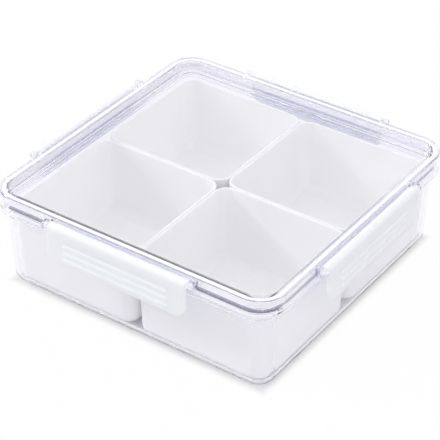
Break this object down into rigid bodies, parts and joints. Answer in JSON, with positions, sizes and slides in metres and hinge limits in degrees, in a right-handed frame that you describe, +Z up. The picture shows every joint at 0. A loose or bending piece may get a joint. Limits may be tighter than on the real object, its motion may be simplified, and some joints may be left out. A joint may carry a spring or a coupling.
{
  "type": "divided snack container",
  "caption": "Square clear food box with a recessed clear lid, a hinged white snap latch on each side and loose white drafted cups that fill its quarters.",
  "frame": {"origin": "centre of the box's flat base", "axes": "+Z up, -Y towards the front side, +X towards the right side"},
  "size_m": [0.228, 0.228, 0.071],
  "materials": {
    "clear_plastic": "clear gloss",
    "seal": "translucent",
    "latch_plastic": "satin",
    "cup_plastic": "satin"
  },
  "bodies": {
    "box": {"outer_box": "clear_plastic"},
    "lid": {"lid": "clear_plastic", "lid_gasket": "seal"},
    "latch_right": {"latch_right": "latch_plastic"},
    "latch_back": {"latch_back": "latch_plastic"},
    "latch_left": {"latch_left": "latch_plastic"},
    "latch_front": {"latch_front": "latch_plastic"},
    "cup_front_left": {"cup_front_left": "cup_plastic"},
    "cup_front_right": {"cup_front_right": "cup_plastic"},
    "cup_back_left": {"cup_back_left": "cup_plastic"},
    "cup_back_right": {"cup_back_right": "cup_plastic"}
  },
  "joints": [
    {"name": "lid_lift", "type": "slide", "parent": "box", "child": "lid", "axis": [0, 0, 1], "range_m": [0, 0.13]},
    {"name": "latch_right_hinge", "type": "hinge", "parent": "lid", "child": "latch_right", "pos_m": [0.109, 0, 0.0673], "axis": [0, -1, 0], "range_deg": [0, 180]},
    {"name": "latch_back_hinge", "type": "hinge", "parent": "lid", "child": "latch_back", "pos_m": [0, 0.109, 0.0673], "axis": [1, 0, 0], "range_deg": [0, 180]},
    {"name": "latch_left_hinge", "type": "hinge", "parent": "lid", "child": "latch_left", "pos_m": [-0.109, 0, 0.0673], "axis": [0, 1, 0], "range_deg": [0, 180]},
    {"name": "latch_front_hinge", "type": "hinge", "parent": "lid", "child": "latch_front", "pos_m": [0, -0.109, 0.0673], "axis": [-1, 0, 0], "range_deg": [0, 180]},
    {"name": "cup_front_left_lift", "type": "slide", "parent": "box", "child": "cup_front_left", "axis": [0, 0, 1], "range_m": [0, 0.065]},
    {"name": "cup_front_right_lift", "type": "slide", "parent": "box", "child": "cup_front_right", "axis": [0, 0, 1], "range_m": [0, 0.065]},
    {"name": "cup_back_left_lift", "type": "slide", "parent": "box", "child": "cup_back_left", "axis": [0, 0, 1], "range_m": [0, 0.065]},
    {"name": "cup_back_right_lift", "type": "slide", "parent": "box", "child": "cup_back_right", "axis": [0, 0, 1], "range_m": [0, 0.065]}
  ],
  "couplings": [
    {"joint": "cup_front_left_lift", "follows": "lid_lift", "ratio": 0.5},
    {"joint": "cup_front_right_lift", "follows": "lid_lift", "ratio": 0.5},
    {"joint": "cup_back_left_lift", "follows": "lid_lift", "ratio": 0.5},
    {"joint": "cup_back_right_lift", "follows": "lid_lift", "ratio": 0.5}
  ]
}
